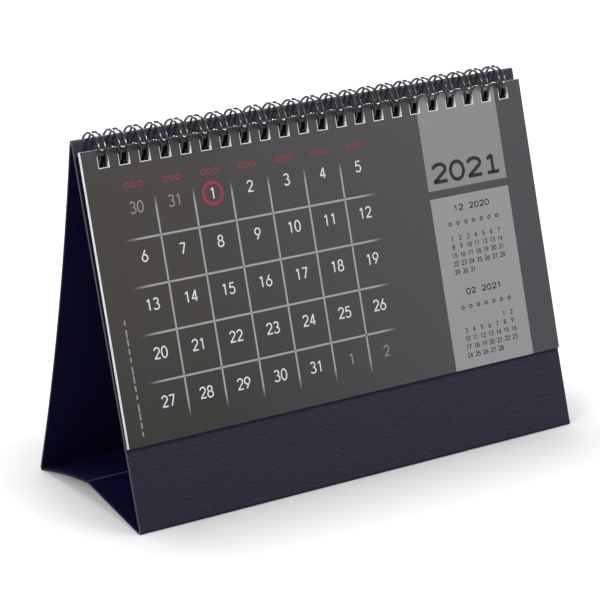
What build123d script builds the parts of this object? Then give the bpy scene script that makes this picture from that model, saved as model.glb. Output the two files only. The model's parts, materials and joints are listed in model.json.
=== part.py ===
"""Desk calendar: a folded card tent that carries month leaves on a twin-loop wire.

Millimetres. X runs along the wire, Y from the front foot to the rear foot, Z up.
The origin is on the floor, under the apex, at mid width.
"""
import os
from math import acos, asin, atan2, cos, degrees, hypot, pi, radians, sin, sqrt

from build123d import *

# Card stand
stand_width = 196.0
stand_height = 138.8
stand_depth = 80.0
card_thickness = 1.0
crease_height = 8.3
rear_flap_bow = 0.8
rear_panel_bow = 3.0
fold_clearance = 0.1
foot_flat_depth = 0.05

# Twin-loop wire
loop_end_margin = 8.0
loop_pitch = 25.4 / 3
twin_spacing = 2.6
wire_diameter = 0.9
ring_outer_diameter = 14.7
ring_rise = 2.0
root_angle = 95.0
nose_angle = 66.0
arcs_per_turn = 4

# Month leaves
leaf_count = 12
leaf_side_margin = 0.5
leaf_length = 108.0
leaf_thickness = 0.11
leaf_gap = 0.03
leaf_top_rise = 0.45
leaves_over_apex = 4

# Clearances between the wire, the leaves and the stand
hole_clearance = 0.3
apex_clearance = 0.15
rest_clearance = 0.1

# The leaves are a little narrower than the stand, and hold as many loops as fit
leaf_width = stand_width - 2 * leaf_side_margin
loop_count = int((leaf_width - 2 * loop_end_margin) / loop_pitch) + 1

# Section of the stand in (y, z): the folds turn about the inner corners of the card
apex_z = stand_height - card_thickness
foot_y = stand_depth / 2 - card_thickness
foot_z = card_thickness - foot_flat_depth
crease_z = crease_height - card_thickness
panel_tilt = atan2(foot_y, apex_z - foot_z)
crease_reach = hypot(foot_y, crease_z - foot_z)
flap_rise = atan2(crease_z - foot_z, foot_y) + asin(card_thickness / crease_reach)

# Ring centre, on the stand's middle plane
ring_radius = (ring_outer_diameter - wire_diameter) / 2
ring_inner = ring_radius - wire_diameter / 2
ring_outer = ring_radius + wire_diameter / 2
ring_z = stand_height + ring_rise - ring_outer

# How far each leaf lies from the ring centre: the last leaf that goes over the apex just clears it
leaf_pitch = leaf_thickness + leaf_gap
apex_reach = stand_height - ring_z
front_leaf_offset = (
    apex_reach + apex_clearance + leaf_thickness / 2 + (leaves_over_apex - 1) * leaf_pitch
)
back_leaf_offset = front_leaf_offset - (leaf_count - 1) * leaf_pitch

# The back leaf's lower edge rests on the front panel, which sets the tilt of all the leaves
panel_offset = (apex_z - ring_z) * sin(panel_tilt) + card_thickness
back_face = back_leaf_offset - leaf_thickness / 2
leaf_reach = leaf_length - leaf_top_rise
rest_offset = panel_offset + rest_clearance
lean = acos(rest_offset / hypot(back_face, leaf_reach)) - atan2(leaf_reach, back_face)
leaf_tilt = panel_tilt - lean

# Punched holes: as wide as the twin wires, and as tall as their slanting way through the pad
front_face = front_leaf_offset + leaf_thickness / 2
wire_enters = sqrt(ring_inner**2 - front_face**2)
wire_leaves = sqrt(ring_outer**2 - back_face**2)
hole_height = wire_leaves - wire_enters + 2 * hole_clearance
hole_width = twin_spacing + wire_diameter + 2 * hole_clearance
leaf_hole_drop = (wire_enters + wire_leaves) / 2

# In the panels the holes lie where the ring crosses the card
panel_crossing = sqrt(ring_radius**2 - (panel_offset - card_thickness / 2) ** 2)
panel_hole_drop = (apex_z - ring_z) * cos(panel_tilt) + panel_crossing


def panel_plane(side):
    """Inner face of a panel: side -1 is the front and 1 the rear, local Y runs up to the apex."""
    outward = (0, side * cos(panel_tilt), sin(panel_tilt))
    return Plane(origin=(0, 0, apex_z), x_dir=(-side, 0, 0), z_dir=outward)


def panel_section(side):
    """Outline of a panel between its two folds, in (y, z)."""
    out_y = side * card_thickness * cos(panel_tilt)
    out_z = card_thickness * sin(panel_tilt)
    return [
        (0, apex_z),
        (side * foot_y, foot_z),
        (side * foot_y + out_y, foot_z + out_z),
        (out_y, apex_z + out_z),
    ]


def inner_corner(fold, first, last):
    """Wedge on the inside of a fold at (y, z), between the directions of its two inner faces in radians."""
    reach = 2 * card_thickness
    turns = (first, (first + last) / 2, last)
    return [fold, *((fold[0] + reach * cos(turn), fold[1] + reach * sin(turn)) for turn in turns)]


os.makedirs("parts", exist_ok=True)

# Front panel, with the round folds at the apex and at the front foot
with BuildPart() as front_panel:
    with BuildSketch(Plane.YZ):
        with BuildLine():
            Polyline(*panel_section(-1), close=True)
        make_face()
        with Locations((0, apex_z), (-foot_y, foot_z)):
            Circle(card_thickness)
        with BuildLine():
            Polyline(*inner_corner((-foot_y, foot_z), flap_rise, pi / 2 - panel_tilt), close=True)
        make_face(mode=Mode.SUBTRACT)
    extrude(amount=stand_width / 2, both=True)
    with BuildSketch(panel_plane(-1)):
        with Locations((0, -panel_hole_drop)):
            with GridLocations(loop_pitch, 0, loop_count, 1):
                Rectangle(hole_width, hole_height)
    extrude(amount=2 * card_thickness, both=True, mode=Mode.SUBTRACT)
    split(bisect_by=Plane.XY, keep=Keep.TOP)

# Rear panel, hung on the apex fold and bowed inwards, with the round fold at the rear foot
with BuildPart() as rear_panel:
    inner_top, inner_foot, outer_foot, outer_top = panel_section(1)
    bow_turn = 2 * atan2(2 * rear_panel_bow, hypot(foot_y, apex_z - foot_z))
    with BuildSketch(Plane.YZ):
        with BuildLine():
            inner = SagittaArc(inner_top, inner_foot, -rear_panel_bow)
            Line(inner @ 1, outer_foot)
            outer = SagittaArc(outer_foot, outer_top, rear_panel_bow)
            Line(outer @ 1, inner @ 0)
        make_face()
        with Locations((foot_y, foot_z)):
            Circle(card_thickness)
        with BuildLine():
            wall_heading = pi / 2 + panel_tilt + bow_turn
            Polyline(*inner_corner((foot_y, foot_z), wall_heading, pi - flap_rise), close=True)
        make_face(mode=Mode.SUBTRACT)
        with Locations((0, apex_z)):
            Circle(card_thickness + fold_clearance, mode=Mode.SUBTRACT)
    extrude(amount=stand_width / 2, both=True)
    with BuildSketch(panel_plane(1)):
        with Locations((0, -panel_hole_drop)):
            with GridLocations(loop_pitch, 0, loop_count, 1):
                Rectangle(hole_width, hole_height)
    extrude(amount=2 * card_thickness, both=True, mode=Mode.SUBTRACT)
    split(bisect_by=Plane.XY, keep=Keep.TOP)

# Front half of the base, with the round crease on its raised edge
with BuildPart() as base_front_flap:
    flap_up = (-card_thickness * sin(flap_rise), card_thickness * cos(flap_rise))
    with BuildSketch(Plane.YZ):
        with BuildLine():
            Polyline(
                (-foot_y, foot_z),
                (flap_up[0], crease_z + flap_up[1]),
                (0, crease_z),
                (-foot_y - flap_up[0], foot_z - flap_up[1]),
                close=True,
            )
        make_face()
        with Locations((0, crease_z)):
            Circle(card_thickness)
        with BuildLine():
            Polyline(*inner_corner((0, crease_z), pi + flap_rise, 2 * pi - flap_rise), close=True)
        make_face(mode=Mode.SUBTRACT)
        with Locations((-foot_y, foot_z)):
            Circle(card_thickness + fold_clearance, mode=Mode.SUBTRACT)
    extrude(amount=stand_width / 2, both=True)

# Rear half of the base, which bows up a little between the rear foot and the crease
with BuildPart() as base_rear_flap:
    with BuildSketch(Plane.YZ):
        with BuildLine():
            upper = SagittaArc((foot_y, foot_z), (-flap_up[0], crease_z + flap_up[1]), -rear_flap_bow)
            Line(upper @ 1, (0, crease_z))
            lower = SagittaArc((0, crease_z), (foot_y + flap_up[0], foot_z - flap_up[1]), rear_flap_bow)
            Line(lower @ 1, upper @ 0)
        make_face()
        with Locations((0, crease_z), (foot_y, foot_z)):
            Circle(card_thickness + fold_clearance, mode=Mode.SUBTRACT)
    extrude(amount=stand_width / 2, both=True)


def ring_point(x, angle):
    """Point of a ring's centre line: the angle runs from the top of the ring towards the front."""
    return Vector(x, -ring_radius * sin(radians(angle)), ring_z + ring_radius * cos(radians(angle)))


def ring_heading(angle):
    """Direction of travel along a ring at that angle, towards the front and down."""
    return Vector(0, -cos(radians(angle)), -sin(radians(angle)))


def wire_arcs():
    """The wire's centre line as start, middle and end of each arc, from the first loop to the last.

    Each loop leaves its root in front of the leaves, goes down through them and both panels, up behind
    and over the apex to its nose, and back. A base turn leads from one loop to the next.
    """
    arcs = []
    sweep_angle = 360 + nose_angle - root_angle
    step = sweep_angle / arcs_per_turn
    base_radius = (loop_pitch - twin_spacing) / 2
    for loop in range(loop_count):
        middle = (loop - (loop_count - 1) / 2) * loop_pitch
        left = middle - twin_spacing / 2
        right = middle + twin_spacing / 2
        for i in range(arcs_per_turn):
            start = root_angle + i * step
            arcs.append([ring_point(left, start + share * step) for share in (0, 0.5, 1)])
        nose_tip = ring_point(middle, nose_angle) + ring_heading(nose_angle) * (twin_spacing / 2)
        arcs.append([ring_point(left, nose_angle), nose_tip, ring_point(right, nose_angle)])
        for i in range(arcs_per_turn):
            start = nose_angle + 360 - i * step
            arcs.append([ring_point(right, start - share * step) for share in (0, 0.5, 1)])
        if loop < loop_count - 1:
            base_middle = ring_point(middle + loop_pitch / 2, root_angle)
            base_tip = base_middle - ring_heading(root_angle) * base_radius
            next_root = ring_point(left + loop_pitch, root_angle)
            arcs.append([ring_point(right, root_angle), base_tip, next_root])
    return arcs


# One unbroken wire with all the twin loops
with BuildPart() as binding_wire:
    with BuildLine() as wire_line:
        for arc_start, arc_middle, arc_end in wire_arcs():
            ThreePointArc(arc_start, arc_middle, arc_end)
    wire_path = wire_line.wires()[0]
    with BuildSketch(Plane(origin=wire_path @ 0, z_dir=wire_path % 0)):
        Circle(wire_diameter / 2)
    sweep(path=wire_path)


def least_wire_gap():
    """Least clear gap between stretches of two neighbouring loops that aren't next to each other."""
    arcs_in_two_loops = 4 * arcs_per_turn + 3
    point_spacing = wire_diameter / 4
    points = []
    travelled = 0.0
    for arc in wire_arcs()[:arcs_in_two_loops]:
        edge = Edge.make_three_point_arc(*arc)
        count = int(edge.length / point_spacing)
        for i in range(count):
            points.append((travelled + edge.length * i / count, edge @ (i / count)))
        travelled += edge.length
    near_run = 4 * wire_diameter
    gap = loop_pitch
    for i, (run_a, point_a) in enumerate(points):
        for run_b, point_b in points[i + 1 :]:
            if run_b - run_a > near_run:
                gap = min(gap, (point_a - point_b).length)
    return gap - wire_diameter


front_panel.part.label = "front_panel"
export_step(front_panel.part, "parts/front_panel.step")
rear_panel.part.label = "rear_panel"
export_step(rear_panel.part, "parts/rear_panel.step")
base_front_flap.part.label = "base_front_flap"
export_step(base_front_flap.part, "parts/base_front_flap.step")
base_rear_flap.part.label = "base_rear_flap"
export_step(base_rear_flap.part, "parts/base_rear_flap.step")
binding_wire.part.label = "binding_wire"
export_step(binding_wire.part, "parts/binding_wire.step")

# Month leaves, from the front of the pad to the back
for leaf_index in range(leaf_count):
    offset_from_ring = front_leaf_offset - leaf_index * leaf_pitch
    facing = Vector(0, -cos(leaf_tilt), sin(leaf_tilt))
    leaf_origin = Vector(0, 0, ring_z) + facing * offset_from_ring
    leaf_plane = Plane(origin=leaf_origin, x_dir=(1, 0, 0), z_dir=facing)
    with BuildPart() as month_leaf:
        with BuildSketch(leaf_plane):
            with Locations((0, leaf_top_rise - leaf_length / 2)):
                Rectangle(leaf_width, leaf_length)
            with Locations((0, -leaf_hole_drop)):
                with GridLocations(loop_pitch, 0, loop_count, 1):
                    Rectangle(hole_width, hole_height, mode=Mode.SUBTRACT)
        extrude(amount=leaf_thickness / 2, both=True)
    leaf_name = f"month_leaf_{leaf_index + 1:02d}"
    month_leaf.part.label = leaf_name
    export_step(month_leaf.part, f"parts/{leaf_name}.step")

print(f"apex fold z {apex_z:.4f}, foot fold y {foot_y:.4f} z {foot_z:.4f}, crease z {crease_z:.4f}")
print(f"panel tilt {degrees(panel_tilt):.4f}, flap rise {degrees(flap_rise):.4f}")
print(f"leaf tilt {degrees(leaf_tilt):.4f}, offsets {front_leaf_offset:.4f} to {back_leaf_offset:.4f}")
print(f"ring z {ring_z:.4f}, radius {ring_radius:.4f}")
print(f"holes {hole_width:.3f} by {hole_height:.3f}")
print(f"hole drop in the leaves {leaf_hole_drop:.3f}, in the panels {panel_hole_drop:.3f}")
wire_section = pi / 4 * wire_diameter**2
wire_length = wire_path.length
print(f"wire volume {binding_wire.part.volume:.2f}, section times length {wire_section * wire_length:.2f}")
print(f"least gap of the wire to itself {least_wire_gap():.3f}")
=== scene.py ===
"""Desk calendar: a folded card tent that carries month leaves on a twin-loop wire.

Metres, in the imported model's frame: X along the wire, Y from the front foot to the rear foot, Z up.
"""
import json

import bpy
import numpy as np
from mathutils import Matrix, Vector


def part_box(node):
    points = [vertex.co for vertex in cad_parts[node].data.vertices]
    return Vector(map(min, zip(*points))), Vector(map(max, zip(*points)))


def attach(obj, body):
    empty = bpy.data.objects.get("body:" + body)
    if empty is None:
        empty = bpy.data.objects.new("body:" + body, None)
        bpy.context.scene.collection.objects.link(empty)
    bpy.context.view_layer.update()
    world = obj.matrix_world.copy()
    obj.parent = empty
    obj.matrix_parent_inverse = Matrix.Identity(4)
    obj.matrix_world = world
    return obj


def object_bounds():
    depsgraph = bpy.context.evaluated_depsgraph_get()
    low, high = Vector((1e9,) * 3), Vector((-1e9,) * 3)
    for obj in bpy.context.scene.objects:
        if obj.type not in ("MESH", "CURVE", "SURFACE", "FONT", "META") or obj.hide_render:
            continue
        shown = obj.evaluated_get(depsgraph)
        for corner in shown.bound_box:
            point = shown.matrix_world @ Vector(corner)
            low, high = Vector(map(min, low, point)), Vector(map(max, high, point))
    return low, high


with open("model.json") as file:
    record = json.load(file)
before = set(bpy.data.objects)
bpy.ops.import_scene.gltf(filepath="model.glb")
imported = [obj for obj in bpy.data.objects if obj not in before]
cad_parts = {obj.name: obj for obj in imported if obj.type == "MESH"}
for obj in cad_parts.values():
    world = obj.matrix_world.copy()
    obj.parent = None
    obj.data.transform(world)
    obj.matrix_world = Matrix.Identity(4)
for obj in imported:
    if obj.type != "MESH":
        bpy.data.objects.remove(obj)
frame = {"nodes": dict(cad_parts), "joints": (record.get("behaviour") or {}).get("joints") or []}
cad_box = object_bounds()

# Card stand: a strip of stiff board wrapped in dark navy paper, scored and folded into a tent.
# Its walls meet at the apex, the rear one bowed inwards, and its base rises from the feet to a crease.
# The paper has a leathery grain. The tent's inner faces are a darker, bluer and duller copy of it, which is
# painted shade. Along the base crease it is paler, which is a painted highlight.
MM = 0.001
stand_half_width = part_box("front_panel")[1].x
card_thickness = 1.0 * MM
rear_bow = 3.0 * MM
navy_deep = (0.0012, 0.001, 0.011, 1)
navy_pale = (0.0038, 0.0033, 0.02, 1)
# Inner faces of the tent: a darker, bluer copy of the navy, painted shade, with a duller finish
inside_painted_shade_deep = (0.0006, 0.0005, 0.012, 1)
inside_painted_shade_pale = (0.0018, 0.0014, 0.034, 1)
# Pale colour along the base crease: a painted highlight, patchy in strength
crease_painted_highlight = (0.075, 0.072, 0.115, 1)
board_bare = (0.055, 0.054, 0.075, 1)
# Cut ends of the rear wall and the base: darker than the bare board, painted shade
cut_end_painted_shade = (0.012, 0.012, 0.026, 1)
card_grain_scale = 1000.0
card_grain_depth = 0.09 * MM
card_fleck_span = (0.32, 0.68)
card_roughness = (0.44, 0.66)
inside_roughness = 0.85
inside_shade_edge = (0.4, 0.6)
crease_edge = (1.0, 1.15)
crease_highlight_strength = (0.5, 1.0)
cut_end_depths = (0.12 * MM, 0.04 * MM)
noise_span = (0.3, 0.7)

# The folds' lines. The walls' inner faces run through those at the apex and the feet.
fold_lines = {joint["name"]: Vector(joint["pos_m"]) for joint in frame["joints"] if "fold" in joint["name"]}
apex_fold = fold_lines["stand_fold"]
rear_foot_fold = fold_lines["rear_flap_fold"]
base_crease = Vector((0, 0, 7.3 * MM))
wall_outward = Vector((0, apex_fold.z - rear_foot_fold.z, rear_foot_fold.y)).normalized()


def add_node(tree, kind, inputs, **settings):
    """Adds a shader node. Each of its inputs, by name or number, is a value or a socket to link."""
    node = tree.nodes.new(kind)
    for name, value in settings.items():
        setattr(node, name, value)
    for socket, value in inputs.items():
        if isinstance(value, bpy.types.NodeSocket):
            tree.links.new(value, node.inputs[socket])
        else:
            node.inputs[socket].default_value = value
    return node


def add_math(tree, operation, first, second=0.0):
    """The result of one sum on two numbers or sockets."""
    return add_node(tree, "ShaderNodeMath", {0: first, 1: second}, operation=operation).outputs[0]


def add_vector(tree, operation, first, second=(0, 0, 0)):
    """The outputs of one sum on two vectors or sockets."""
    return add_node(tree, "ShaderNodeVectorMath", {0: first, 1: second}, operation=operation).outputs


def add_range(tree, value, low, high, low_result, high_result, **settings):
    """The value's place between low and high, carried over to the range of results and held at its ends."""
    inputs = {0: value, 1: low, 2: high, 3: low_result, 4: high_result}
    return add_node(tree, "ShaderNodeMapRange", inputs, **settings).outputs[0]


def add_mix(tree, share, first, second):
    """Colour that goes from the first to the second as the share goes from 0 to 1."""
    return add_node(tree, "ShaderNodeMix", {0: share, 6: first, 7: second}, data_type="RGBA").outputs[2]


def add_group(tree, group, inputs):
    """Places a shader group in a material, with its own values."""
    return add_node(tree, "ShaderNodeGroup", inputs, node_tree=group).outputs


def new_group(name, inputs, outputs):
    """An empty shader group with its sockets, and the nodes that stand for its inputs and outputs."""
    group = bpy.data.node_groups.new(name, "ShaderNodeTree")
    for socket, kind in inputs.items():
        group.interface.new_socket(socket, in_out="INPUT", socket_type=kind)
    for socket, kind in outputs.items():
        group.interface.new_socket(socket, in_out="OUTPUT", socket_type=kind)
    return group, group.nodes.new("NodeGroupInput").outputs, group.nodes.new("NodeGroupOutput").inputs


def make_fibre_grain():
    """Paper and card surface: fine pebbles and fibres as a height, flecks of their size, and slow patches."""
    group, given, result = new_group(
        "fibre_grain",
        {"Vector": "NodeSocketVector", "Scale": "NodeSocketFloat"},
        {"Height": "NodeSocketFloat", "Fleck": "NodeSocketFloat", "Mottle": "NodeSocketFloat"},
    )
    place = {"Vector": given["Vector"], "Scale": given["Scale"]}
    pebbles = add_node(group, "ShaderNodeTexVoronoi", place)
    fibres = add_node(group, "ShaderNodeTexNoise", {**place, "Detail": 4.0, "Roughness": 0.6})
    height = add_math(group, "ADD", pebbles.outputs["Distance"], fibres.outputs[0])
    slow_share = 0.03
    slow_scale = add_math(group, "MULTIPLY", given["Scale"], slow_share)
    slow = {"Vector": given["Vector"], "Scale": slow_scale, "Detail": 5.0, "Roughness": 0.65}
    patches = add_node(group, "ShaderNodeTexNoise", slow)
    group.links.new(height, result["Height"])
    group.links.new(fibres.outputs[0], result["Fleck"])
    group.links.new(patches.outputs[0], result["Mottle"])
    return group


def new_material(name):
    """A node material with only its Principled shader, and the coordinates of the piece."""
    material = bpy.data.materials.new(name)
    material.use_nodes = True
    tree = material.node_tree
    place = tree.nodes.new("ShaderNodeTexCoord").outputs["Object"]
    return material, tree, tree.nodes["Principled BSDF"], place


fibre_grain = make_fibre_grain()


def make_navy_card(name, cut_end, gloss, bow_depth=0.0):
    """Grained navy paper outside, a darker, bluer and duller copy of it inside the tent as painted shade, a
    painted highlight along the base crease, and the board's cut ends.

    The painted shade inside fades out between the two card-thickness shares set for its edge, out of the
    wall's inner face. That face runs through the apex's and the foot's folds and bows inwards by 4 *
    bow_depth * s * (1 - s), where s goes from 0 at the apex to 1 at the foot. The painted highlight on the
    crease reaches as far as the card's rounded fold reaches from its line.
    """
    material, tree, shader, place = new_material(name)
    grain = add_group(tree, fibre_grain, {"Vector": place, "Scale": card_grain_scale})
    fleck = add_range(tree, grain["Fleck"], *card_fleck_span, 0.0, 1.0)
    mirrored = add_vector(tree, "ABSOLUTE", place)[0]
    outward = add_vector(tree, "DOT_PRODUCT", mirrored, wall_outward)["Value"]
    axis_places = add_node(tree, "ShaderNodeSeparateXYZ", {0: mirrored}).outputs
    down = add_range(tree, axis_places["Z"], apex_fold.z, rear_foot_fold.z, 0.0, 1.0)
    bowed_share = add_math(tree, "MULTIPLY", down, add_math(tree, "SUBTRACT", 1.0, down))
    unbowed = add_math(tree, "ADD", outward, add_math(tree, "MULTIPLY", bowed_share, 4 * bow_depth))
    # Painted shade inside the tent: the inner faces, out to the shade's edge setting, take a darker, bluer
    # copy of the navy
    wall_plane = wall_outward.dot(apex_fold)
    inside_shade_ends = [wall_plane + share * card_thickness for share in inside_shade_edge]
    inside = add_range(tree, unbowed, *inside_shade_ends, 1.0, 0.0)
    outer = add_mix(tree, fleck, navy_deep, navy_pale)
    paper = add_mix(tree, inside, outer, add_mix(tree, fleck, inside_painted_shade_deep, inside_painted_shade_pale))
    # Painted highlight along the base crease, out to the card's rounded fold and patchy
    from_crease = add_vector(tree, "DISTANCE", add_vector(tree, "MULTIPLY", place, (0, 1, 1))[0], base_crease)
    crease_ends = [share * card_thickness for share in crease_edge]
    creased = add_range(tree, from_crease["Value"], *crease_ends, 1.0, 0.0)
    patchy = add_range(tree, grain["Mottle"], *noise_span, *crease_highlight_strength)
    crease_highlighted = add_mix(tree, add_math(tree, "MULTIPLY", creased, patchy), paper, crease_painted_highlight)
    # Cut ends: the board's colour, darkened as painted shade on the rear wall and the base
    cut_ends = [stand_half_width - depth for depth in cut_end_depths]
    at_end = add_range(tree, axis_places["X"], *cut_ends, 0.0, 1.0)
    colour = add_mix(tree, at_end, crease_highlighted, cut_end)
    outer_roughness = add_range(tree, grain["Fleck"], *card_fleck_span, *card_roughness)
    inner_roughness = add_math(tree, "MULTIPLY", inside, inside_roughness)
    roughness = add_math(tree, "MAXIMUM", outer_roughness, inner_roughness)
    bump = add_node(tree, "ShaderNodeBump", {"Distance": card_grain_depth, "Height": grain["Height"]})
    tree.links.new(colour, shader.inputs["Base Color"])
    tree.links.new(roughness, shader.inputs["Roughness"])
    tree.links.new(bump.outputs[0], shader.inputs["Normal"])
    shader.inputs["Specular IOR Level"].default_value = gloss
    return material


def dress(node_name, material):
    """Gives a CAD node its finish."""
    mesh = frame["nodes"][node_name].data
    mesh.materials.clear()
    mesh.materials.append(material)


dress("front_panel", make_navy_card("front_card", board_bare, gloss=0.2))
# The rear wall and the base take the darker cut ends, painted shade
dress("rear_panel", make_navy_card("rear_card", cut_end_painted_shade, gloss=0.14, bow_depth=rear_bow))
base_card = make_navy_card("base_card", cut_end_painted_shade, gloss=0.08)
dress("base_front_flap", base_card)
dress("base_rear_flap", base_card)

# Binding wire: one length of steel wire in a glossy black coat, bent into twin loops and pressed shut
# through the punched holes of the leaves and both walls of the stand.
wire_black = (0.001, 0.001, 0.0015, 1)
wire_worn = (0.004, 0.004, 0.005, 1)
wire_wear_scale = 900.0
wire_roughness = (0.08, 0.16)


def make_coated_wire():
    """Glossy black coat, a little duller and greyer in patches where the leaves slide on it."""
    material, tree, shader, place = new_material("coated_wire")
    wear = {"Vector": place, "Scale": wire_wear_scale, "Detail": 3.0}
    slid = add_node(tree, "ShaderNodeTexNoise", wear).outputs[0]
    tree.links.new(add_mix(tree, slid, wire_black, wire_worn), shader.inputs["Base Color"])
    tree.links.new(add_range(tree, slid, *noise_span, *wire_roughness), shader.inputs["Roughness"])
    shader.inputs["Specular IOR Level"].default_value = 0.5
    return material


dress("binding_wire", make_coated_wire())

# Month leaves: twelve sheets of white satin paper, printed dark grey on the front and punched for the wire.
# Each shows one month in a grid of thin pale lines, the year, and the months before and after on two
# light panels. The paper stays white on the back and on its cut edges.
leaf_count = 12
paper_white = (0.9, 0.9, 0.89, 1)
paper_shaded = (0.84, 0.84, 0.835, 1)
leaf_grain_scale = 3000.0
leaf_grain_depth = 0.006 * MM
leaf_roughness = (0.5, 0.6)


def make_leaf_paper():
    """White paper with a faint mottle and fine fibres."""
    material, tree, shader, place = new_material("leaf_paper")
    grain = add_group(tree, fibre_grain, {"Vector": place, "Scale": leaf_grain_scale})
    bump = add_node(tree, "ShaderNodeBump", {"Distance": leaf_grain_depth, "Height": grain["Height"]})
    tree.links.new(add_mix(tree, grain["Mottle"], paper_shaded, paper_white), shader.inputs["Base Color"])
    tree.links.new(add_range(tree, grain["Fleck"], *noise_span, *leaf_roughness), shader.inputs["Roughness"])
    tree.links.new(bump.outputs[0], shader.inputs["Normal"])
    return material


# The print's colours, in the order of the print's material slots, and how high each lies over the paper
inks = {
    "ground_ink": ((0.041, 0.0365, 0.033, 1), 0.008 * MM),
    "top_panel_ink": ((0.246, 0.246, 0.25, 1), 0.012 * MM),
    "low_panel_ink": ((0.298, 0.297, 0.306, 1), 0.012 * MM),
    "line_ink": ((0.36, 0.36, 0.355, 1), 0.012 * MM),
    "date_ink": ((0.8, 0.8, 0.8, 1), 0.016 * MM),
    "faint_ink": ((0.28, 0.275, 0.27, 1), 0.016 * MM),
    "red_ink": ((0.36, 0.018, 0.045, 1), 0.016 * MM),
    "dull_red_ink": ((0.24, 0.025, 0.04, 1), 0.016 * MM),
    "black_ink": ((0.005, 0.005, 0.006, 1), 0.016 * MM),
}
# On the ground print: painted shade towards the foot of the left side, painted sheen towards the right side
ground_painted_shade = (0.027, 0.025, 0.0215, 1)
ground_painted_sheen = (0.0545, 0.0545, 0.0615, 1)
ground_shade_span = (0.55, 1.0)
ground_sheen_span = (-0.3, 0.25)
line_fade = 0.08
ink_thinned = 0.92
ink_grain_depth = 0.004 * MM
ink_roughness = (0.4, 0.5)


def grade_ground(tree, ink, across, down):
    """Ground print with painted shade, darker towards the foot of its left side, and painted sheen, cooler
    and paler towards its right side.
    """
    left = add_mix(tree, add_range(tree, down, *ground_shade_span, 0.0, 1.0), ink, ground_painted_shade)
    return add_mix(tree, add_range(tree, across, *ground_sheen_span, 0.0, 1.0), left, ground_painted_sheen)


def fade_ends(tree, ink, along):
    """Line print: fades into the ground towards both ends of each line."""
    to_end = add_math(tree, "PINGPONG", along, 0.5)
    strong = add_range(tree, to_end, 0.0, line_fade, 0.0, 1.0, interpolation_type="SMOOTHSTEP")
    return add_mix(tree, strong, inks["ground_ink"][0], ink)


def make_ink(name, full):
    """Satin ink: its colour with a faint mottle, over the paper's fine fibres."""
    material, tree, shader, place = new_material(name)
    grain = add_group(tree, fibre_grain, {"Vector": place, "Scale": leaf_grain_scale})
    on_print = add_node(tree, "ShaderNodeUVMap", {}, uv_map="print_place")
    share = add_node(tree, "ShaderNodeSeparateXYZ", {0: on_print.outputs[0]}).outputs
    thin = tuple(ink_thinned * channel for channel in full[:3]) + (1,)
    ink = add_mix(tree, grain["Mottle"], thin, full)
    # Painted shade and painted sheen across the ground print
    if name == "ground_ink":
        ink = grade_ground(tree, ink, share["X"], share["Y"])
    if name == "line_ink":
        ink = fade_ends(tree, ink, share["X"])
    bump = add_node(tree, "ShaderNodeBump", {"Distance": ink_grain_depth, "Height": grain["Height"]})
    tree.links.new(ink, shader.inputs["Base Color"])
    tree.links.new(add_range(tree, grain["Fleck"], *noise_span, *ink_roughness), shader.inputs["Roughness"])
    tree.links.new(bump.outputs[0], shader.inputs["Normal"])
    shader.inputs["Specular IOR Level"].default_value = 0.2
    return material


def bow(middle, radii, start, end, steps=13):
    """Points of an ellipse's arc: middle plus radii times cosine and sine, from start to end in degrees."""
    turn = np.radians(np.linspace(start, end, steps))
    return np.stack([middle[0] + radii[0] * np.cos(turn), middle[1] + radii[1] * np.sin(turn)], axis=1)


def run(*points):
    """A straight stroke or a bent one through these points."""
    return np.array(points, float)


# Strokes of the numerals, in a box numeral_width wide and 1 high
numeral_width = 0.58
numeral_pitch = 0.74
numerals = {
    "0": [bow((0.29, 0.5), (0.27, 0.5), 90, 450, 25)],
    "1": [run((0.12, 0.8), (0.33, 0.99)), run((0.33, 1.0), (0.33, 0.0))],
    "2": [
        np.vstack([bow((0.29, 0.73), (0.26, 0.27), 170, -32), run((0.03, 0.04))]),
        run((0.0, 0.04), (0.58, 0.04)),
    ],
    "3": [bow((0.27, 0.76), (0.23, 0.24), 155, -90), bow((0.27, 0.26), (0.28, 0.26), 90, -155)],
    "4": [run((0.42, 1.0), (0.02, 0.27)), run((0.0, 0.27), (0.58, 0.27)), run((0.42, 1.0), (0.42, 0.0))],
    "5": [
        run((0.52, 0.96), (0.1, 0.96)),
        run((0.13, 0.98), (0.07, 0.5)),
        bow((0.27, 0.31), (0.28, 0.31), 135, -150),
    ],
    "6": [bow((0.29, 0.3), (0.27, 0.3), 0, 360, 21), run((0.4, 1.0), (0.06, 0.42))],
    "7": [run((0.02, 0.96), (0.57, 0.96)), run((0.54, 0.98), (0.2, 0.0))],
    "8": [bow((0.29, 0.76), (0.22, 0.24), 0, 360, 19), bow((0.29, 0.27), (0.28, 0.27), 0, 360, 21)],
    "9": [bow((0.29, 0.7), (0.27, 0.3), 0, 360, 21), run((0.18, 0.0), (0.52, 0.58))],
    " ": [],
}
footed_one = numerals["1"] + [run((0.08, 0.04), (0.58, 0.04))]


def ribbon(path, width):
    """A stroke as a flat band: the path moved half the width to each side, square to its direction."""
    heading = np.gradient(path, axis=0)
    if np.allclose(path[0], path[-1]):
        heading[0] = heading[-1] = path[1] - path[-2]
    heading /= np.linalg.norm(heading, axis=1, keepdims=True)
    side = np.stack([-heading[:, 1], heading[:, 0]], axis=1) * width / 2
    points = np.stack([path - side, path + side], axis=1).reshape(-1, 2)
    share = np.repeat(np.linspace(0, 1, len(path)), 2)
    first = 2 * np.arange(len(path) - 1)[:, None]
    return points, first + np.array([0, 2, 3, 1]), np.stack([share, np.tile([0, 1], len(path))], axis=1)


def block(left, right, top, bottom):
    """A rectangle, as a band from left to right."""
    middle = (top + bottom) / 2
    return ribbon(run((left, middle), (right, middle)), bottom - top)


def ring(x, drop, radius, weight):
    """A thin circle round a place on the leaf."""
    return ribbon(bow((x, drop), (radius, radius), 0, 360, 41), weight)


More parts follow.
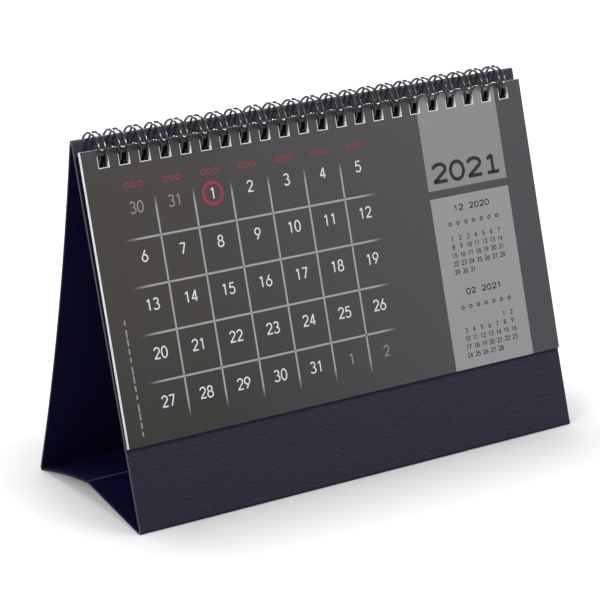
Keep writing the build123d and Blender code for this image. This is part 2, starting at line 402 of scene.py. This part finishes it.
def number(figures, x, drop, height, weight, stretch=1.0):
    """Figures, each a list of strokes, in a row centred at x and at that drop below the leaf's top edge."""
    pitch = numeral_pitch * height * stretch
    start = x - pitch * (len(figures) - 1) / 2 - numeral_width / 2 * height * stretch
    bands = []
    for place, strokes in enumerate(figures):
        for stroke in strokes:
            path = stroke * (height * stretch, -height) + (start + place * pitch, drop + height / 2)
            bands.append(ribbon(path, weight))
    return bands


def figures_of(text):
    """The strokes of each numeral of a text."""
    return [numerals[letter] for letter in text]


# The punched holes, with the white rim that the print leaves at their sides and foot
loop_count = 22
loop_pitch = 25.4 / 3 * MM
punched_rim = 0.22 * MM
punched_width = 4.1 * MM + 2 * punched_rim
punched_height = 4.213 * MM + punched_rim
punched_drop = 4.546 * MM + punched_rim / 2
print_top_drop = 0.05 * MM


def punched_area(left, right, bottom, leaf_size):
    """A printed area from just below the leaf's top edge down, without the punched holes.

    It is a grid of cells between the area's edges and the holes' edges, less the cells inside a hole. Its map
    is the place on the leaf as a share of the leaf's size.
    """
    middles = (np.arange(loop_count) - (loop_count - 1) / 2) * loop_pitch
    hole_sides = np.concatenate([middles - punched_width / 2, middles + punched_width / 2])
    hole_sides = hole_sides[(hole_sides > left) & (hole_sides < right)]
    columns = np.sort(np.concatenate([[left, right], hole_sides]))
    hole_ends = punched_drop + np.array([-0.5, 0.5]) * punched_height
    rows = np.array([print_top_drop, *hole_ends, bottom])
    points = np.stack(np.meshgrid(columns, rows), axis=2).reshape(-1, 2)
    corner = np.arange(len(points)).reshape(len(rows), len(columns))
    cells = np.stack([corner[:-1, :-1], corner[1:, :-1], corner[1:, 1:], corner[:-1, 1:]], axis=2)
    cell_middles = (columns[:-1] + columns[1:]) / 2
    in_hole = (np.abs(cell_middles[:, None] - middles) < punched_width / 2).any(axis=1)
    solid = np.ones(cells.shape[:2], bool)
    solid[1] = ~in_hole
    return points, cells[solid], points / leaf_size


# Layout of the month, from the leaf's middle and its top edge as the leaf is read
days_in_week = 7
middle_column = days_in_week // 2
weeks_shown = 5
column_pitch = 15.95 * MM
first_line_x = -70.68 * MM
first_line_drop = 34.05 * MM
line_pitch = 17.4 * MM
line_weight = 0.72 * MM
line_overhang = 15.5 * MM
date_height = 4.1 * MM
date_weight = 0.5 * MM
first_date_drop = 22.6 * MM
date_pitch = 17.82 * MM
day_ring_radius = 3.95 * MM
day_ring_weight = 0.95 * MM
weekday_drop = 14.5 * MM
weekday_ring_pitch = 2.7 * MM
weekday_ring_radius = 0.95 * MM
weekday_ring_weight = 0.45 * MM

# Layout of the two light panels and what is on them. A form is the numerals' height, weight and stretch.
panel_left = 47.2 * MM
panel_right = 84.6 * MM
panel_middle = (panel_left + panel_right) / 2
panel_split = (37.4 * MM, 40.5 * MM)
year_shown = 2021
year_drop = 31.0 * MM
year_form = (7.0 * MM, 1.45 * MM, 1.6)
small_month_drops = (45.4 * MM, 78.2 * MM)
small_heading_form = (2.1 * MM, 0.45 * MM, 1.6)
small_column_pitch = 3.72 * MM
small_mark_drop = 5.9 * MM
small_mark_radius = 0.6 * MM
small_mark_weight = 0.4 * MM
small_date_drop = 11.6 * MM
small_date_pitch = 3.28 * MM
small_date_height = 1.75 * MM
small_date_weight = 0.33 * MM

# Dashes down the left margin
margin_x = -91.0 * MM
margin_drops = np.arange(62.0, 104.0, 3.4) * MM
margin_dash_lengths = np.array([1.8, 3.0, 2.6, 2.2]) * MM
margin_dash_weight = 0.62 * MM

month_days = [31, 28, 31, 30, 31, 30, 31, 31, 30, 31, 30, 31]
first_weekday = 2
ringed_day_step = 5
ringed_day_span = 28
month_starts = [0, *(first_weekday + np.cumsum([0, *month_days])) % days_in_week]


def month_dates(month):
    """The five weeks of a month, counted from 0: day number and whether it is the month's own.

    Days past the last week go to the free places of the first one.
    """
    shown = days_in_week * weeks_shown
    days = month_days[month % leaf_count]
    start = month_starts[month + 1]
    day = np.arange(shown) - start + 1
    day = np.where((day < 1) & (day + shown <= days), day + shown, day)
    own = (day >= 1) & (day <= days)
    day = np.where(day < 1, day + month_days[month - 1], day)
    return zip(np.where(own | (np.arange(shown) < start), day, day - days), own)


def small_month(press, month, drop):
    """A month in small numerals on a light panel: its number and year, seven marks and its dates."""
    heading = figures_of(f"{month % leaf_count + 1:02d} {year_shown + month // leaf_count}")
    bands = number(heading, panel_middle, drop, *small_heading_form)
    for column in range(days_in_week):
        x = panel_middle + (column - middle_column) * small_column_pitch
        bands.append(ring(x, drop + small_mark_drop, small_mark_radius, small_mark_weight))
    for cell, (day, own) in enumerate(month_dates(month)):
        x = panel_middle + (cell % days_in_week - middle_column) * small_column_pitch
        row_drop = drop + small_date_drop + cell // days_in_week * small_date_pitch
        if own:
            bands += number(figures_of(str(day)), x, row_drop, small_date_height, small_date_weight)
    for band in bands:
        press("black_ink", band)


def leaf_plane(name):
    """A leaf's front face: directions across, up and towards the reader, top and front levels, and size."""
    mesh = frame["nodes"][name].data
    points = np.zeros(3 * len(mesh.vertices))
    mesh.vertices.foreach_get("co", points)
    points = points.reshape(-1, 3)
    spread = np.linalg.svd(points - points.mean(axis=0), full_matrices=False)[2]
    facing = spread[2] * -np.sign(spread[2][1])
    up = np.cross(facing, (1, 0, 0))
    height = points @ up
    size = (np.ptp(points[:, 0]), np.ptp(height))
    return np.array([(1, 0, 0), up, facing]), height.max(), (points @ facing).max(), size


def print_leaf(month, ink_materials):
    """The whole print of one leaf as one thin mesh just over its front face."""
    name = f"month_leaf_{month + 1:02d}"
    axes, top, front, (width, length) = leaf_plane(name)
    names = list(inks)
    points, faces, places, slots = [], [], [], []

    def press(ink, band):
        """Adds a band of one ink; its points are x and the drop below the leaf's top edge."""
        flat, cells, share = band
        level = np.full(len(flat), front + inks[ink][1])
        faces.append(cells + sum(len(p) for p in points))
        points.append(np.stack([flat[:, 0], top - flat[:, 1], level], axis=1) @ axes)
        places.append(share)
        slots.append(np.full(len(cells), names.index(ink)))

    press("ground_ink", punched_area(-width / 2, width / 2, length, (width, length)))
    press("top_panel_ink", punched_area(panel_left, panel_right, panel_split[0], (width, length)))
    press("low_panel_ink", block(panel_left, panel_right, panel_split[1], length))
    line_xs = first_line_x + np.arange(days_in_week - 1) * column_pitch
    line_drops = first_line_drop + np.arange(weeks_shown - 1) * line_pitch
    for x in line_xs:
        ends = run((x, line_drops[0] - line_overhang), (x, line_drops[-1] + line_overhang))
        press("line_ink", ribbon(ends, line_weight))
    for drop in line_drops:
        ends = run((line_xs[0] - line_overhang, drop), (line_xs[-1] + line_overhang, drop))
        press("line_ink", ribbon(ends, line_weight))

    day_ringed = 1 + ringed_day_step * month % ringed_day_span
    for cell, (day, own) in enumerate(month_dates(month)):
        x = first_line_x + (cell % days_in_week - 0.5) * column_pitch
        drop = first_date_drop + cell // days_in_week * date_pitch
        for band in number(figures_of(str(day)), x, drop, date_height, date_weight):
            press("date_ink" if own else "faint_ink", band)
        if own and day == day_ringed:
            press("red_ink", ring(x, drop, day_ring_radius, day_ring_weight))
    for column in range(days_in_week):
        for place in (-1, 0, 1):
            x = first_line_x + (column - 0.5) * column_pitch + place * weekday_ring_pitch
            press("dull_red_ink", ring(x, weekday_drop, weekday_ring_radius, weekday_ring_weight))
    year_figures = [footed_one if figure == "1" else numerals[figure] for figure in str(year_shown)]
    for band in number(year_figures, panel_middle, year_drop, *year_form):
        press("black_ink", band)
    for neighbour, drop in zip((month - 1, month + 1), small_month_drops):
        small_month(press, neighbour, drop)
    for dash, drop in enumerate(margin_drops):
        dash_end = drop + margin_dash_lengths[dash % len(margin_dash_lengths)]
        press("faint_ink", ribbon(run((margin_x, drop), (margin_x, dash_end)), margin_dash_weight))

    mesh = bpy.data.meshes.new(f"{name}_print")
    mesh.from_pydata(np.vstack(points), [], np.vstack(faces))
    mesh.polygons.foreach_set("material_index", np.concatenate(slots).astype(np.int32))
    corners = np.zeros(len(mesh.loops), np.int32)
    mesh.loops.foreach_get("vertex_index", corners)
    mesh.uv_layers.new(name="print_place").data.foreach_set("uv", np.vstack(places)[corners].ravel())
    for material in ink_materials:
        mesh.materials.append(material)
    piece = bpy.data.objects.new(mesh.name, mesh)
    bpy.context.scene.collection.objects.link(piece)
    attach(piece, name)


leaf_paper = make_leaf_paper()
ink_materials = [make_ink(name, colour) for name, (colour, level) in inks.items()]
for month in range(leaf_count):
    dress(f"month_leaf_{month + 1:02d}", leaf_paper)
    print_leaf(month, ink_materials)

# Stage: a white table top that runs out of sight, with a painted contact shadow round the stand, soft light
# from the right, the left and above, and a camera at the photograph's place.
floor_reach = 6.0
floor_white = (0.8, 0.8, 0.8, 1)
# Painted contact shadow on the floor: its glow is weaker near the stand's footprint and rises over the given
# reach
shadow_inset = Vector((22 * MM, 0, 0))
near_reach = 60 * MM
near_glow = 0.4
far_reach = (0.5, 2.0)
sky_light = 0.52
lamp_aim = Vector((0, 0, 0.07))
floor_corners = np.array([(-1, -1, 0), (1, -1, 0), (1, 1, 0), (-1, 1, 0)]) * floor_reach
floor_mesh = bpy.data.meshes.new("floor")
floor_mesh.from_pydata(floor_corners, [], [(0, 1, 2, 3)])
floor = bpy.data.objects.new("floor", floor_mesh)
bpy.context.scene.collection.objects.link(floor)


def seen_directly(tree):
    """1 for rays from the camera or from a reflection or through glass, 0 for rays that carry light."""
    path = tree.nodes.new("ShaderNodeLightPath").outputs
    mirrored = add_math(tree, "MAXIMUM", path["Is Glossy Ray"], path["Is Transmission Ray"])
    return add_math(tree, "MAXIMUM", path["Is Camera Ray"], mirrored)


floor_material, floor_tree, floor_shader, floor_place = new_material("floor_white")
floor_shader.inputs["Base Color"].default_value = floor_white
floor_shader.inputs["Roughness"].default_value = 0.9
floor_shader.inputs["Specular IOR Level"].default_value = 0.0
floor_shader.inputs["Emission Color"].default_value = (1, 1, 1, 1)
# Painted shade: the floor's glow starts at nothing at the stand and rises with distance from it
shaded_half = cad_box[1] - shadow_inset
from_middle = add_vector(floor_tree, "ABSOLUTE", floor_place)
past_stand = add_vector(floor_tree, "SUBTRACT", from_middle[0], shaded_half)
beside_stand = add_vector(floor_tree, "MAXIMUM", past_stand[0])
from_stand = add_vector(floor_tree, "LENGTH", beside_stand[0])["Value"]
painted_shade_lift = add_range(floor_tree, from_stand, 0.0, near_reach, 0.0, near_glow)
far_lift = add_range(floor_tree, from_stand, *far_reach, 0.0, 1.0)
floor_lift = add_math(floor_tree, "MAXIMUM", painted_shade_lift, far_lift)
floor_glow = add_math(floor_tree, "MULTIPLY", seen_directly(floor_tree), floor_lift)
floor_tree.links.new(floor_glow, floor_shader.inputs["Emission Strength"])
floor_mesh.materials.append(floor_material)

world = bpy.data.worlds.new("studio")
bpy.context.scene.world = world
world.use_nodes = True
world_tree = world.node_tree
sky_strength = add_range(world_tree, seen_directly(world_tree), 0.0, 1.0, sky_light, 1.0)
world_tree.nodes["Background"].inputs["Color"].default_value = (1, 1, 1, 1)
world_tree.links.new(sky_strength, world_tree.nodes["Background"].inputs["Strength"])


def add_softbox(name, place, size, power):
    """A square soft lamp that faces the calendar."""
    lamp = bpy.data.lights.new(name, "AREA")
    lamp.size = size
    lamp.energy = power
    lamp_object = bpy.data.objects.new(name, lamp)
    lamp_object.location = place
    lamp_object.rotation_euler = (lamp_aim - Vector(place)).to_track_quat("-Z", "Y").to_euler()
    bpy.context.scene.collection.objects.link(lamp_object)
    return lamp_object


add_softbox("key_softbox", (1.24, -1.24, 1.86), size=1.8, power=16)
add_softbox("left_softbox", (-2.2, -0.92, 1.18), size=1.8, power=34)
add_softbox("top_softbox", (0.0, 1.3, 2.2), size=2.2, power=22)

# Two small lamps that show only in gloss: glints on the wire and a sheen on the card
glint_places = {"front_glint_lamp": (0.63, -0.625, 0.875), "rear_glint_lamp": (0.35, 0.8, 0.88)}
for glint_name, glint_place in glint_places.items():
    add_softbox(glint_name, glint_place, size=0.25, power=20).visible_diffuse = False

# The camera's turn about its target, worked out from the photograph's lines
camera_azimuth, camera_elevation, camera_roll = np.radians([-31.947, 17.668, -1.305])
camera_distance = 1.033579
camera_target = Vector((30.299, 53.423, 41.088)) * MM
backward = Vector(
    (
        np.sin(camera_azimuth) * np.cos(camera_elevation),
        -np.cos(camera_azimuth) * np.cos(camera_elevation),
        np.sin(camera_elevation),
    )
)
camera_data = bpy.data.cameras.new("camera")
camera_data.sensor_width = 36.0
camera_data.lens = 150.543
camera = bpy.data.objects.new("camera", camera_data)
bpy.context.scene.collection.objects.link(camera)
sideways = Vector((np.cos(camera_azimuth), np.sin(camera_azimuth), 0))
upright = backward.cross(sideways)
turned = Matrix((sideways, upright, backward)).transposed() @ Matrix.Rotation(camera_roll, 3, "Z")
camera.matrix_world = Matrix.Translation(camera_target + backward * camera_distance) @ turned.to_4x4()
bpy.context.scene.camera = camera
bpy.context.scene.view_settings.view_transform = "Standard"
